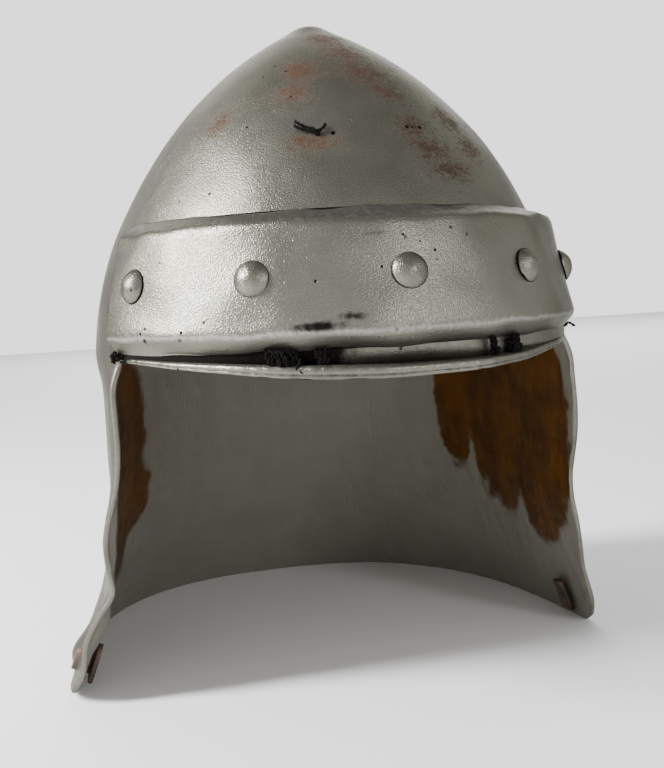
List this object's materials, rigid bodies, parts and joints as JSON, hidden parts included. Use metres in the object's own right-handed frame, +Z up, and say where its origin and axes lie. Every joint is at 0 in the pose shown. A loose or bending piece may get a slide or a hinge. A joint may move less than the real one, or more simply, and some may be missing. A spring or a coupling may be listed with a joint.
{
  "type": "knight helmet",
  "caption": "Tall pointed helmet with flared neck guard, open face, bevelled riveted brow band, laced brow rim, leather and cloth liner and chin strap stubs.",
  "frame": {"origin": "on the plane of the lower rim, straight below the apex", "axes": "+Z up through the apex, -Y out of the face opening, +X to the wearer's left"},
  "size_m": [0.2708, 0.3024, 0.3127],
  "materials": {
    "shell": "worn silver paint over a moulded shell, satin",
    "band": "worn silver paint, satin",
    "rim": "rubbed silver paint, semi-gloss",
    "rivet": "rubbed, dulled steel",
    "washer": "dull steel",
    "thread": "waxed black thread",
    "sweatband": "oiled, worn",
    "lining": "quilted unbleached cloth",
    "strap": "dry, dark, cracked"
  },
  "bodies": {
    "helmet": {"helmet_shell": "shell", "brow_band": "band", "brow_rim": "rim", "sweatband": "sweatband", "liner_cap": "lining", "rivet_front": "rivet", "rivet_left_front": "rivet", "rivet_right_front": "rivet", "rivet_left_side": "rivet", "rivet_right_side": "rivet", "washer_front": "washer", "washer_left_front": "washer", "washer_right_front": "washer", "washer_left_side": "washer", "washer_right_side": "washer", "tie_right_front": "thread", "tie_left_front": "thread", "tie_right_back": "thread", "tie_left_back": "thread", "lacing_right_corner": "thread", "lacing_right_front": "thread", "lacing_front": "thread", "lacing_left_front": "thread", "lacing_left_middle": "thread", "lacing_left_corner": "thread", "strap_root_left": "strap", "strap_root_right": "strap"},
    "strap_left": {"strap_tongue_left": "strap"},
    "strap_right": {"strap_tongue_right": "strap"}
  },
  "joints": [
    {"name": "strap_left_swing", "type": "hinge", "parent": "helmet", "child": "strap_left", "pos_m": [0.12505, -0.00015, 0.01121], "axis": [0.3578, 0.015, -0.9337], "range_deg": [0, 75]},
    {"name": "strap_right_swing", "type": "hinge", "parent": "helmet", "child": "strap_right", "pos_m": [-0.12505, -0.00015, 0.01121], "axis": [0.3578, -0.015, 0.9337], "range_deg": [0, 75]}
  ]
}
